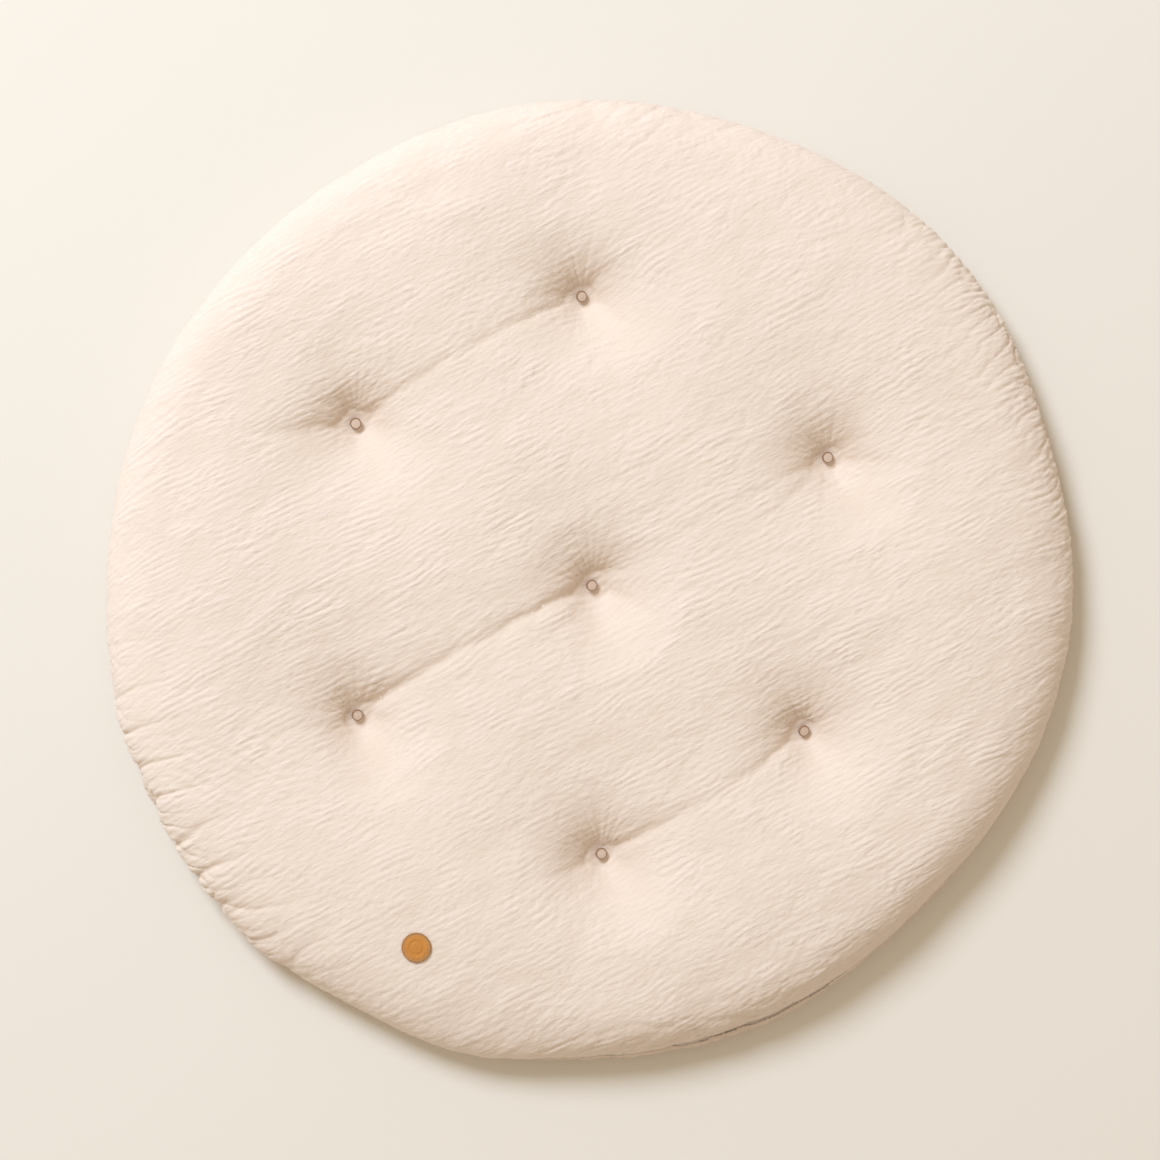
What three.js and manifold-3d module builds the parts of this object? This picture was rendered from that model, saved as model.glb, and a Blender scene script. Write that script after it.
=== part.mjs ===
// A round tufted seat pad, in millimetres, +Z up.
// The origin is on the surface that the pad lies on, under the middle of its outline.
// Two cloth panels meet in a seam round the rim and hold three layers of wadding. Seven tufts pull the pad
// in: each has a button on top, a button underneath and a twine between them. A round leather label is sewn
// to the top near the rim.
import * as THREE from "three";
import { mergeVertices } from "three/addons/utils/BufferGeometryUtils.js";
import Module from "manifold-3d";

// Overall sizes
const RIM_RADIUS = 446; // mean distance from the middle of the outline to the rim
const PAD_THICKNESS = 60; // from the floor to the top of the wadding
const SEAM_HEIGHT = 20; // from the floor to the seam where the two panels meet
const TOP_SHOULDER = 72; // width over which the top falls away to the seam
const BOTTOM_SHOULDER = 34; // width over which the bottom curves up to the seam

// The rim is not a true circle, because it is filled and sewn by hand
const OVAL = { lobes: 2, swell: 11.5, bearing: 40 };
const THREE_LOBED = { lobes: 3, swell: 2.6, bearing: 90 };
const FOUR_LOBED = { lobes: 4, swell: 3, bearing: -4 };
const SIX_LOBED = { lobes: 6, swell: 2, bearing: -20 };
const RIM_WAVES = [OVAL, THREE_LOBED, FOUR_LOBED, SIX_LOBED];

// Cloth
const COVER_THICKNESS = 1.5; // two layers of gauze, with the height of their crinkles
const SEAM_ALLOWANCE = 12; // width of the cloth turned in at the seam
const COVER_GAP = 0.3; // between the two panels at the seam

// Seam thread, and the stretch of the seam that is closed by hand
const SEAM_THREAD_DIAMETER = 0.8;
const SEAM_THREAD_INSET = 4; // from the rim to the thread
const CLOSING_LENGTH = 140;
const CLOSING_BEARING = -68;

// Wadding
const LAYER_BREAK = 40; // height of the joint between the middle layer and the upper one
const WADDING_CLEARANCE = 0.3; // to the cloth, to the twine and between two layers

// Tufts: a middle one, and six round it. Drift is how far a hand-sewn tuft lies from its even place.
const MIDDLE_TUFT = { x: 4, y: -8 };
const TUFT_SPACING = 255; // from the middle tuft to each of the others
const RING_TUFTS = [
  { bearing: 92, drift: 17 },
  { bearing: 145.5, drift: 13 },
  { bearing: 209, drift: -6 },
  { bearing: 272, drift: -6 },
  { bearing: 325.5, drift: -16 },
  { bearing: 28.5, drift: -4 },
];
const PINCH = 15; // thickness of the pad where a tuft pulls it in
const TOP_DIMPLE_RADIUS = 82;
const BOTTOM_DIMPLE_RADIUS = 52;

// Buttons and twine
const BUTTON_DIAMETER = 10.6;
const BUTTON_THICKNESS = 2.6;
const BUTTON_EDGE = 0.8; // round of the button's edge
const BUTTON_DISH = 0.5; // depth of the hollow in its face
const SHANK_DIAMETER = 4;
const SHANK_LENGTH = 1;
const BUTTON_SIDE_CLEARANCE = 1.2; // from the button to the cloth round it
const BUTTON_LIFT = 0.3; // from the cloth to the end of the shank
const TWINE_DIAMETER = 2;
const TWINE_CLEARANCE = 0.6;
const TWINE_END_GAP = 0.3; // from the twine to each shank

// Label
const LABEL_DIAMETER = 27;
const LABEL_THICKNESS = 1.6;
const LABEL_BEARING = 245.5;
const LABEL_INSET = 76; // from the rim to the middle of the label
const LABEL_LIFT = 0.3;
const STITCH_RING_INSET = 2.2; // from the label's edge to its stitching
const STITCH_DIAMETER = 0.7;
const STITCH_CLEARANCE = 0.3;

// Facets
const RIM_FACETS = 48;
const SHOULDER_FACETS = 4;
const DIMPLE_FACETS = 12;
const DIMPLE_ROWS = 3;
const ROUND_FACETS = 12;
const THREAD_FACETS = 6;
const BEYOND = 5; // how far a cutting shape runs past what it cuts
const MOUTH_OVERLAP = 1; // how far the cut for a panel's mouth runs into the hollow behind it

const CLOTH = { color: 0xf4e4d6, roughness: 0.92, metalness: 0 };
const WADDING = { color: 0xf3efe6, roughness: 1, metalness: 0 };
const THREAD = { color: 0xe6d3bf, roughness: 0.85, metalness: 0 };
const BUTTON = { color: 0xe9d3bd, roughness: 0.55, metalness: 0 };
const LEATHER = { color: 0xc98740, roughness: 0.6, metalness: 0 };

const wasm = await Module();
wasm.setup();

const radians = THREE.MathUtils.degToRad;

// Distance from the middle of the outline to the rim, towards an angle in radians.
function reach(angle) {
  let distance = RIM_RADIUS;
  for (const wave of RIM_WAVES) {
    distance += wave.swell * Math.cos(wave.lobes * (angle - radians(wave.bearing)));
  }
  return distance;
}

// A closed geometry as a solid that can be joined and cut.
function solidFrom(geometry) {
  const bare = geometry.clone();
  bare.deleteAttribute("normal");
  bare.deleteAttribute("uv");
  const merged = mergeVertices(bare, 1e-3);
  const mesh = new wasm.Mesh({
    numProp: 3,
    vertProperties: merged.getAttribute("position").array,
    triVerts: new Uint32Array(merged.index.array),
  });
  return new wasm.Manifold(mesh);
}

function geometryFrom(solid) {
  const mesh = solid.getMesh();
  const geometry = new THREE.BufferGeometry();
  geometry.setAttribute("position", new THREE.BufferAttribute(mesh.vertProperties, mesh.numProp));
  geometry.setIndex(new THREE.BufferAttribute(mesh.triVerts, 1));
  geometry.computeVertexNormals();
  return geometry;
}

// A profile of [radius, height] points turned about +Z.
function turned(profile, facets) {
  const points = profile.map(([radius, height]) => new THREE.Vector2(radius, height));
  return new THREE.LatheGeometry(points, facets).rotateX(Math.PI / 2);
}

// A turned shape whose circles follow the pad's outline.
function turnedToOutline(profile) {
  const geometry = turned(profile, RIM_FACETS);
  const position = geometry.getAttribute("position");
  for (let i = 0; i < position.count; i += 1) {
    const x = position.getX(i);
    const y = position.getY(i);
    const stretch = reach(Math.atan2(y, x)) / RIM_RADIUS;
    position.setXY(i, x * stretch, y * stretch);
  }
  return solidFrom(geometry);
}

// The pad's untufted form, shrunk on all sides by inset.
function puff(inset) {
  const rim = RIM_RADIUS - inset;
  const profile = [[0, inset]];
  for (let i = 0; i <= SHOULDER_FACETS; i += 1) {
    const turn = (Math.PI / 2) * (i / SHOULDER_FACETS);
    const width = BOTTOM_SHOULDER - inset;
    const drop = SEAM_HEIGHT - inset;
    profile.push([rim - width + width * Math.sin(turn), SEAM_HEIGHT - drop * Math.cos(turn)]);
  }
  for (let i = 1; i <= SHOULDER_FACETS; i += 1) {
    const turn = (Math.PI / 2) * (i / SHOULDER_FACETS);
    const width = TOP_SHOULDER - inset;
    const rise = PAD_THICKNESS - inset - SEAM_HEIGHT;
    profile.push([rim - width + width * Math.cos(turn), SEAM_HEIGHT + rise * Math.sin(turn)]);
  }
  profile.push([0, PAD_THICKNESS - inset]);
  return turnedToOutline(profile);
}

// Everything inside the outline, less inset, between two heights.
function slice(inset, low, high) {
  const rim = RIM_RADIUS - inset;
  return turnedToOutline([[0, low], [rim, low], [rim, high], [0, high]]);
}

// The dimples' places, the middle one first.
function tuftPlaces() {
  const places = [MIDDLE_TUFT];
  for (const { bearing, drift } of RING_TUFTS) {
    const distance = TUFT_SPACING + drift;
    places.push({
      x: MIDDLE_TUFT.x + distance * Math.cos(radians(bearing)),
      y: MIDDLE_TUFT.y + distance * Math.sin(radians(bearing)),
    });
  }
  return places;
}

const TUFTS = tuftPlaces();
const TOP_SEAT = SEAM_HEIGHT + PINCH / 2;
const BOTTOM_SEAT = SEAM_HEIGHT - PINCH / 2;
const SEAT_RADIUS = BUTTON_DIAMETER / 2 + BUTTON_SIDE_CLEARANCE;

// One funnel from a round seat out to a level surface. It opens upwards, or downwards where the level is lower.
function funnel(seat, level, radius) {
  const opening = Math.sign(level - seat);
  const profile = [[0, seat], [SEAT_RADIUS, seat]];
  for (let i = 1; i <= DIMPLE_ROWS; i += 1) {
    const across = (i / DIMPLE_ROWS) ** 1.4;
    const climb = 1 - (1 - across) ** 2.2;
    profile.push([SEAT_RADIUS + (radius - SEAT_RADIUS) * across, seat + (level - seat) * climb]);
  }
  profile.push([radius, level + opening * BEYOND]);
  profile.push([0, level + opening * BEYOND]);
  if (opening < 0) {
    profile.reverse();
  }
  return turned(profile, DIMPLE_FACETS);
}

// A solid with a copy of a shape cut from it at each tuft.
function cutAtTufts(solid, shape) {
  const cutter = solidFrom(shape);
  return TUFTS.reduce((left, { x, y }) => left.subtract(cutter.translate([x, y, 0])), solid);
}

// The tufted form, shrunk on all sides by inset.
function tuftedForm(inset) {
  const top = funnel(TOP_SEAT - inset, PAD_THICKNESS - inset, TOP_DIMPLE_RADIUS);
  const bottom = funnel(BOTTOM_SEAT + inset, inset, BOTTOM_DIMPLE_RADIUS);
  return cutAtTufts(cutAtTufts(puff(inset), top), bottom);
}

// A ring of round section that follows the rim.
function rimRing(inset, diameter) {
  const profile = [];
  for (let i = 0; i <= THREAD_FACETS; i += 1) {
    const turn = 2 * Math.PI * ((i % THREAD_FACETS) / THREAD_FACETS);
    const radius = RIM_RADIUS - inset + (diameter / 2) * Math.cos(turn);
    profile.push([radius, SEAM_HEIGHT + (diameter / 2) * Math.sin(turn)]);
  }
  return turnedToOutline(profile);
}

// A shaft along +Z between two heights.
function post(radius, low, high, facets) {
  return turned([[0, low], [radius, low], [radius, high], [0, high]], facets);
}

const flange = COVER_GAP / 2 + COVER_THICKNESS; // from the seam plane to a flange's inner face
const outer = tuftedForm(0);
const inner = tuftedForm(COVER_THICKNESS);
const mouth = slice(
  COVER_THICKNESS + SEAM_ALLOWANCE, SEAM_HEIGHT - flange - MOUTH_OVERLAP, SEAM_HEIGHT + flange + MOUTH_OVERLAP,
);
const overSeam = slice(-BEYOND, SEAM_HEIGHT, PAD_THICKNESS + BEYOND);
const underSeam = slice(-BEYOND, -BEYOND, SEAM_HEIGHT);
const threadChannel = rimRing(SEAM_THREAD_INSET, SEAM_THREAD_DIAMETER + 2 * COVER_GAP);
const twineHole = post(
  TWINE_DIAMETER / 2 + TWINE_CLEARANCE, -BEYOND, PAD_THICKNESS + BEYOND, THREAD_FACETS,
);

// One panel: the shell on its side of the seam, with the cloth turned in round its mouth.
function panel(side, up) {
  const half = outer.intersect(side.translate([0, 0, (up * COVER_GAP) / 2]));
  const hollow = inner.intersect(side.translate([0, 0, up * flange]));
  return cutAtTufts(half.subtract(hollow).subtract(mouth).subtract(threadChannel), twineHole);
}

// The wadding under a surface that is level between the tufts and dips to a lower seat at each of them.
function waddingUnder(level, seat) {
  const slab = slice(-BEYOND, -BEYOND, level);
  return cutAtTufts(slab, funnel(seat, level, TOP_DIMPLE_RADIUS));
}

const bed = tuftedForm(COVER_THICKNESS + WADDING_CLEARANCE);
const turnedInCloth = slice(
  -BEYOND, SEAM_HEIGHT - flange - WADDING_CLEARANCE, SEAM_HEIGHT + flange + WADDING_CLEARANCE,
).subtract(slice(COVER_THICKNESS + SEAM_ALLOWANCE + WADDING_CLEARANCE, -BEYOND, PAD_THICKNESS));
const third = (PINCH - 2 * COVER_THICKNESS) / 3; // each layer's thickness where a tuft presses it
const lowerTop = { level: SEAM_HEIGHT, seat: BOTTOM_SEAT + COVER_THICKNESS + third };
const middleTop = { level: LAYER_BREAK, seat: TOP_SEAT - COVER_THICKNESS - third };

// One layer, between the surface at the top of the layer below and its own top.
function layer(top, below) {
  let solid = bed.subtract(turnedInCloth);
  if (top) {
    solid = solid.intersect(waddingUnder(top.level, top.seat));
  }
  if (below) {
    solid = solid.subtract(waddingUnder(below.level + WADDING_CLEARANCE, below.seat + WADDING_CLEARANCE));
  }
  return cutAtTufts(solid, twineHole);
}

// A button facing +Z with the end of its shank at height 0.
function buttonShape() {
  const radius = BUTTON_DIAMETER / 2;
  const top = SHANK_LENGTH + BUTTON_THICKNESS;
  return turned([
    [0, 0],
    [SHANK_DIAMETER / 2, 0],
    [SHANK_DIAMETER / 2, SHANK_LENGTH],
    [radius - BUTTON_EDGE, SHANK_LENGTH],
    [radius, SHANK_LENGTH + BUTTON_EDGE],
    [radius, top - BUTTON_EDGE],
    [radius - BUTTON_EDGE, top],
    [radius - 2 * BUTTON_EDGE, top - BUTTON_DISH],
    [0, top - BUTTON_DISH],
  ], ROUND_FACETS);
}

function labelShape() {
  const radius = LABEL_DIAMETER / 2;
  const groove = radius - STITCH_RING_INSET;
  const half = STITCH_DIAMETER / 2 + STITCH_CLEARANCE;
  const floor = LABEL_THICKNESS - STITCH_DIAMETER / 2 - STITCH_CLEARANCE;
  return turned([
    [0, 0],
    [radius, 0],
    [radius, LABEL_THICKNESS],
    [groove + half, LABEL_THICKNESS],
    [groove + half, floor],
    [groove - half, floor],
    [groove - half, LABEL_THICKNESS],
    [0, LABEL_THICKNESS],
  ], 2 * ROUND_FACETS);
}

function stitchRingShape() {
  return new THREE.TorusGeometry(
    LABEL_DIAMETER / 2 - STITCH_RING_INSET, STITCH_DIAMETER / 2, THREAD_FACETS, 2 * ROUND_FACETS,
  );
}

function piece(name, geometry, finish) {
  const mesh = new THREE.Mesh(geometry, new THREE.MeshStandardMaterial(finish));
  mesh.name = name;
  return mesh;
}

const pad = new THREE.Group();
pad.add(piece("top_cover", geometryFrom(panel(overSeam, 1)), CLOTH));
pad.add(piece("bottom_cover", geometryFrom(panel(underSeam, -1)), CLOTH));
pad.add(piece("wadding_lower", geometryFrom(layer(lowerTop, null)), WADDING));
pad.add(piece("wadding_middle", geometryFrom(layer(middleTop, lowerTop)), WADDING));
pad.add(piece("wadding_upper", geometryFrom(layer(null, middleTop)), WADDING));

// The seam's thread, and the stretch that is closed by hand
const seamRing = rimRing(SEAM_THREAD_INSET, SEAM_THREAD_DIAMETER);
function closingBox(length) {
  const box = new THREE.BoxGeometry(2 * TOP_SHOULDER, length, PAD_THICKNESS);
  box.translate(reach(radians(CLOSING_BEARING)), 0, SEAM_HEIGHT);
  return solidFrom(box.rotateZ(radians(CLOSING_BEARING)));
}
const closing = seamRing.intersect(closingBox(CLOSING_LENGTH));
const machineSewn = seamRing.subtract(closingBox(CLOSING_LENGTH + 2 * COVER_GAP));
pad.add(piece("closing_stitches", geometryFrom(closing), THREAD));
pad.add(piece("edge_seam_thread", geometryFrom(machineSewn), THREAD));

// A button above, a button below and the twine between them, at each tuft
const button = buttonShape();
const twineLow = BOTTOM_SEAT - BUTTON_LIFT + TWINE_END_GAP;
const twineHigh = TOP_SEAT + BUTTON_LIFT - TWINE_END_GAP;
const twine = post(TWINE_DIAMETER / 2, twineLow, twineHigh, THREAD_FACETS);
TUFTS.forEach(({ x, y }, index) => {
  const number = index + 1;
  const topButton = piece(`top_button_${number}`, button, BUTTON);
  topButton.position.set(x, y, TOP_SEAT + BUTTON_LIFT);
  const bottomButton = piece(`bottom_button_${number}`, button, BUTTON);
  bottomButton.position.set(x, y, BOTTOM_SEAT - BUTTON_LIFT);
  bottomButton.rotation.x = Math.PI;
  const tie = piece(`tufting_twine_${number}`, twine, THREAD);
  tie.position.set(x, y, 0);
  pad.add(topButton, bottomButton, tie);
});

// The label and its stitching
const labelDistance = reach(radians(LABEL_BEARING)) - LABEL_INSET;
const label = new THREE.Group();
label.position.set(
  labelDistance * Math.cos(radians(LABEL_BEARING)),
  labelDistance * Math.sin(radians(LABEL_BEARING)),
  PAD_THICKNESS + LABEL_LIFT,
);
const stitching = piece("label_stitching", stitchRingShape(), THREAD);
stitching.position.z = LABEL_THICKNESS;
label.add(piece("leather_label", labelShape(), LEATHER), stitching);
pad.add(label);

// The origin goes under the middle of the outline.
const box = new THREE.Box3().setFromObject(pad);
const middle = box.getCenter(new THREE.Vector3());
pad.position.set(-middle.x, -middle.y, 0);

export default pad;
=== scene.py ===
"""The looks of a round tufted seat pad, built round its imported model.

The two panels of the case come first: cut flat, filled by a cloth simulation, then creased and crinkled.
Every other piece is placed on them or between them.
"""

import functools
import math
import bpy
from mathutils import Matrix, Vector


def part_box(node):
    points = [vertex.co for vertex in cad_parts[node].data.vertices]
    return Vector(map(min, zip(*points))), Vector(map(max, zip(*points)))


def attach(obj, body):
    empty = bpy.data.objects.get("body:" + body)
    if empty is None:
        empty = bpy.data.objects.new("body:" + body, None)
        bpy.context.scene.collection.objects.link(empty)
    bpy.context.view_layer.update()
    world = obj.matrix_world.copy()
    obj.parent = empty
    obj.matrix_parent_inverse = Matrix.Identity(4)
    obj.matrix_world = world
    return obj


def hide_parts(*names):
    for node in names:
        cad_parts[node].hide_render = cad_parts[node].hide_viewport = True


bl_info = {
    "name": "Round Tufted Seat Pad",
    "version": (1, 0, 0),
    "blender": (4, 5, 0),
    "location": "View3D > Sidebar > Seat Pad",
    "description": "Sews, fills and tufts a round seat pad of crinkled cotton gauze",
    "category": "Add Mesh",
}

import bmesh
import bpy
import numpy as np
from bpy.props import FloatProperty, FloatVectorProperty, IntProperty, PointerProperty
from mathutils import Matrix, Vector

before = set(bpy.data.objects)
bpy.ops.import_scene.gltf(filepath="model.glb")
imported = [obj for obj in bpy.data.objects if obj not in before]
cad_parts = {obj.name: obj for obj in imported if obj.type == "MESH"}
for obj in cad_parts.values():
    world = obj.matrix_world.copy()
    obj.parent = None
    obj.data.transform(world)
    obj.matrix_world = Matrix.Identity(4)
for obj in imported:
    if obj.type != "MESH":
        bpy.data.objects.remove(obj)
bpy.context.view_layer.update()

MM = 0.001
TUFT_COUNT = 7
GRAIN_BEARING = 28  # degrees, the way the gauze's crinkles run

# Each panel is a square grid of cells spread over a disc.
CELLS = 96  # across the panel, for the cloth simulation
FINER = 6  # cells of the finished outer face to one of those
SPREAD_PASSES = 80  # that spread the cells evenly

# The cloth simulation.
SETTLE_FRAMES = 24
PUSH_PASSES = 5  # that smooth what it finds
GAUZE = {
    "quality": 5,
    "mass": 0.25,
    "tension_stiffness": 20,
    "compression_stiffness": 10,
    "shear_stiffness": 5,
    "bending_stiffness": 0.05,
    "air_damping": 4,
}

# The stuffed shape.
TOP_SHOULDER = 0.048
BOTTOM_SHOULDER = 0.036
DIMPLE_RADIUS = 0.095
UNDER_DIMPLE_RADIUS = 0.055
SEAT_RADIUS = 0.005
HELD_RADIUS = 0.0068  # the cloth that each tuft holds still in the simulation
CROWN = 1 * MM  # room for the crinkles over the top panel
RIM_LOBES = 7  # waves round the rim that the outline may have

CLOTH_THICKNESS = 0.0018  # two layers of gauze with their crinkle
SEAM_ALLOWANCE = 0.012
SEAM_GAP = 0.00015
WARP_PITCH = 0.0036  # the weave's small squares, along the grain and across it
WEFT_PITCH = 0.0031

NOISE_WIDTH = 1.2  # metres, before the crinkles repeat
NOISE_CELLS = 2048
SEED = {
    "wander": (11, 12),
    "long crinkles": 13,
    "short crinkles": 14,
    "crinkle strength": 15,
    "crease wobble": 16,
    "pleats": 21,
    "lumps": 41,
    "small lumps": 42,
}

# The stage.
FLOOR_SIZE = 16
LAMP_PLACE = (-2.94, 3.77, 4.78)
LAMP_SIZE = 2.75
LAMP_COLOUR = (0.744, 0.855, 1.0)
FILL_COLOUR = (1.0, 0.865, 0.68)
LENS_LENGTH = 85  # in millimetres, as the width of the sensor is
SENSOR_WIDTH = 36
CAMERA_AIM = (-6.5 * MM, -6.1 * MM, 0.03)


def corners(node):
    low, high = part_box(node)
    return np.array(low), np.array(high)


def middle_of(node):
    low, high = corners(node)
    return (low + high) / 2


TUFTS = np.array([middle_of(f"top_button_{n + 1}")[:2] for n in range(TUFT_COUNT)])
TOP_SEAT = corners("top_button_1")[0][2]
BOTTOM_SEAT = corners("bottom_button_1")[1][2]
SEAM_HEIGHT = middle_of("edge_seam_thread")[2]
PAD_TOP = corners("top_cover")[1][2]
LABEL_PLACE = middle_of("leather_label")[:2]
LABEL_BED = 17 * MM  # the radius of the cloth that the label rests on


def size_of(node, axis):
    low, high = corners(node)
    return float(high[axis] - low[axis])


def unit(bearing):
    angle = math.radians(bearing)
    return np.array([math.cos(angle), math.sin(angle)])


def sideways(way):
    """The way a quarter turn to the left of this one."""
    return np.array([-way[1], way[0]])


def smooth_step(x, low, high):
    t = np.clip((x - low) / (high - low), 0, 1)
    return t * t * (3 - 2 * t)


def hump(x, width):
    return np.exp(-((x / width) ** 2))


def region(bearing, middle, half_width):
    """1 at a bearing round the pad, fading to 0 at half_width degrees from it."""
    away = np.abs((bearing - middle + 180) % 360 - 180)
    return 1 - smooth_step(away, 0, half_width)


# ---- the sizes and colours that can be changed


def length(name, description, default):
    return FloatProperty(name=name, description=description, default=default, unit="LENGTH")


def tilt(name, description, degrees):
    return FloatProperty(name=name, description=description, default=math.radians(degrees), subtype="ANGLE")


def amount(name, description, default):
    return FloatProperty(name=name, description=description, default=default)


def colour(name, description, *default):
    return FloatVectorProperty(name=name, description=description, subtype="COLOR", default=default)


class PadCase(bpy.types.PropertyGroup):
    cut_radius: length("Cut radius", "Radius that each panel is cut to, inside the seam", 0.466)
    along_grain: amount("Ease along the grain", "Cloth to spare along the grain", 0.985)
    across_grain: amount("Ease across the grain", "Cloth to spare across it", 1.05)
    filling_push: amount("Filling push", "Pressure of the wadding on the case", 0.5)
    filling_hold: amount("Filling hold", "How firmly the wadding keeps its form", 0.02)
    crinkle_height: length("Crinkle height", "Height of the gauze's crinkles", 0.00067)
    crinkle_spacing: length("Crinkle spacing", "From one crinkle to the next", 0.0065)
    crease_depth: amount("Crease depth", "Share of each crease's full depth", 1.0)
    gather_depth: length("Gather depth", "Depth of the gathers at the seam", 0.005)
    ridge_colour: colour("Gauze", "Undyed cotton gauze", 0.83, 0.70, 0.605)
    # Painted shade: the gauze is darkened towards this colour in its crinkle valleys and deep folds, where
    # shade falls.
    fold_shade_colour: colour("Gauze in its folds", "The same cloth deep in a crinkle", 0.74, 0.60, 0.48)
    wadding_colour: colour("Wadding", "Cotton wadding", 0.86, 0.84, 0.78)


class PadNotions(bpy.types.PropertyGroup):
    button_colour: colour("Button face", "Pale button face", 0.76, 0.60, 0.49)
    # Partly the button's own brown edge, partly painted shade for the gap where it meets the cloth.
    button_edge_and_gap_shade_colour: colour("Button edge", "Brown edge of the button", 0.34, 0.20, 0.12)
    button_tilt: tilt("Button tilt", "How far each button leans", 22)
    thread_colour: colour("Thread", "Sewing thread", 0.82, 0.72, 0.60)
    stitch_length: length("Stitch length", "Length of a machine stitch", 0.0034)
    slip_stitch: length("Slip stitch", "Pitch of the hand-sewn closing", 0.0048)


class PadLabel(bpy.types.PropertyGroup):
    leather_colour: colour("Leather", "Vegetable-tanned leather", 0.60, 0.245, 0.045)
    edge_colour: colour("Leather edge", "Darker cut edge", 0.33, 0.16, 0.05)
    ring_radius: length("Pressed ring", "Radius of the plain pressed ring", 0.0062)
    stitch_count: IntProperty(name="Stitches", description="Stitches round the label", default=22)


class PadStage(bpy.types.PropertyGroup):
    floor_colour: colour("Floor", "Plain pale floor", 0.80, 0.745, 0.668)
    lamp_power: FloatProperty(name="Lamp", description="Power of the soft lamp", default=438, unit="POWER")
    fill_strength: amount("Fill", "Light from all round", 0.585)
    camera_distance: length("Camera distance", "From the camera to the pad", 2.552)
    camera_elevation: tilt("Camera elevation", "Above the horizon", 86)


def settings(name):
    return getattr(bpy.context.scene, name)


# ---- the outline and the stuffed shape


@functools.cache
def rim_radius():
    """A smooth function from an angle to the pad's radius, from the rim of the CAD's top cover."""
    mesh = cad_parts["top_cover"].data
    points = read_points(mesh)
    points = points[points[:, 2] < SEAM_HEIGHT + MM]
    angle = np.arctan2(points[:, 1], points[:, 0])
    radius = np.hypot(points[:, 0], points[:, 1])
    outside = radius > np.median(radius)
    angle, radius = angle[outside], radius[outside]

    def waves(theta):
        parts = [np.ones_like(theta)]
        for lobes in range(1, RIM_LOBES + 1):
            parts += [np.cos(lobes * theta), np.sin(lobes * theta)]
        return np.stack(parts, -1)

    for _ in range(3):
        share = np.linalg.lstsq(waves(angle), radius, rcond=None)[0]
        keep = radius > waves(angle) @ share - 2 * MM
        angle, radius = angle[keep], radius[keep]
    return lambda theta: waves(theta) @ share


def disc_grid():
    """Places in a disc of radius 1 for each point of a panel's grid, evenly spread."""
    steps = np.linspace(-1, 1, CELLS + 1)
    x, y = np.meshgrid(steps, steps, indexing="ij")
    wide = np.abs(x) > np.abs(y)
    safe_x = np.where(x == 0, 1, x)
    safe_y = np.where(y == 0, 1, y)
    angle = np.where(wide, math.pi / 4 * y / safe_x, math.pi / 2 - math.pi / 4 * x / safe_y)
    radius = np.where(wide, x, y)
    spread = np.stack([radius * np.cos(angle), radius * np.sin(angle)], -1)
    spread[(x == 0) & (y == 0)] = 0
    for _ in range(SPREAD_PASSES):
        spread = eased(spread)
    return spread


def eased(grid):
    """The grid with each inner point moved to the middle of its four neighbours."""
    made = grid.copy()
    made[1:-1, 1:-1] = (grid[2:, 1:-1] + grid[:-2, 1:-1] + grid[1:-1, 2:] + grid[1:-1, :-2]) / 4
    return made


def arc_profile(shoulder, rise):
    """Lengths along a panel's shoulder up to the seam, with the radius and the height lost at each."""
    turn = np.linspace(0, math.pi / 2, 60)
    lost = shoulder * (1 - np.sin(turn))
    drop = rise * (1 - np.cos(turn))
    steps = np.hypot(np.diff(lost), np.diff(drop))
    length = np.concatenate([[0], np.cumsum(steps)])
    return length - length[-1], lost, drop


def untufted(disc, shoulder, level, up):
    """A panel laid over the filling, before it is tufted: up is 1 for the top and -1 for the bottom."""
    share = np.linalg.norm(disc, axis=-1)
    theta = np.arctan2(disc[..., 1], disc[..., 0])
    outer = rim_radius()(theta)
    length, lost, drop = arc_profile(shoulder, abs(level - SEAM_HEIGHT))
    total = outer - shoulder - length[0]
    before_seam = (share - 1) * total
    on_shoulder = before_seam > length[0]
    inset = np.interp(before_seam, length, lost)
    radius = np.where(on_shoulder, outer - inset, outer - shoulder + before_seam - length[0])
    radius = np.maximum(radius, 0)
    height = level - up * np.interp(before_seam, length, drop, left=0)
    return np.stack([radius * np.cos(theta), radius * np.sin(theta), height], -1)


def dimple(away, radius):
    """1 on the button's seat, falling to 0 at the dimple's edge, and less steeply on its full side."""
    distance = np.linalg.norm(away, axis=-1)
    across = np.clip((distance - SEAT_RADIUS) / (radius - SEAT_RADIUS), 0, 1)
    full_side = (0.5 - 0.5 * (away @ LIGHT_WAY) / np.maximum(distance, 1e-6)) ** 2
    roundness = 0.96 + 0.09 * full_side
    steepness = 2.8 - 1.35 * full_side
    return (1 - across**roundness) ** steepness


def distance_from(grid, place):
    """How far each point is from a place, seen from above."""
    return np.linalg.norm(grid[..., :2] - place, axis=-1)


def distance_from_tufts(grid):
    return np.min([distance_from(grid, place) for place in TUFTS], axis=0)


def tufted(panel, seat, radius):
    """The panel with its heights pulled to the seat at each tuft."""
    made = panel.copy()
    pull = np.max([dimple(panel[..., :2] - place, radius) for place in TUFTS], axis=0)
    made[..., 2] += (seat - made[..., 2]) * pull
    return made


def stuffed(disc, up):
    """The stuffed and tufted top panel (1) or bottom panel (-1), before its cloth has settled."""
    if up > 0:
        return tufted(untufted(disc, TOP_SHOULDER, PAD_TOP - CROWN, 1), TOP_SEAT, DIMPLE_RADIUS)
    return tufted(untufted(disc, BOTTOM_SHOULDER, 0.0, -1), BOTTOM_SEAT, UNDER_DIMPLE_RADIUS)


# ---- meshes


def read_points(mesh):
    points = np.empty(3 * len(mesh.vertices), dtype=np.float32)
    mesh.vertices.foreach_get("co", points)
    return points.reshape(-1, 3).astype(float)


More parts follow.
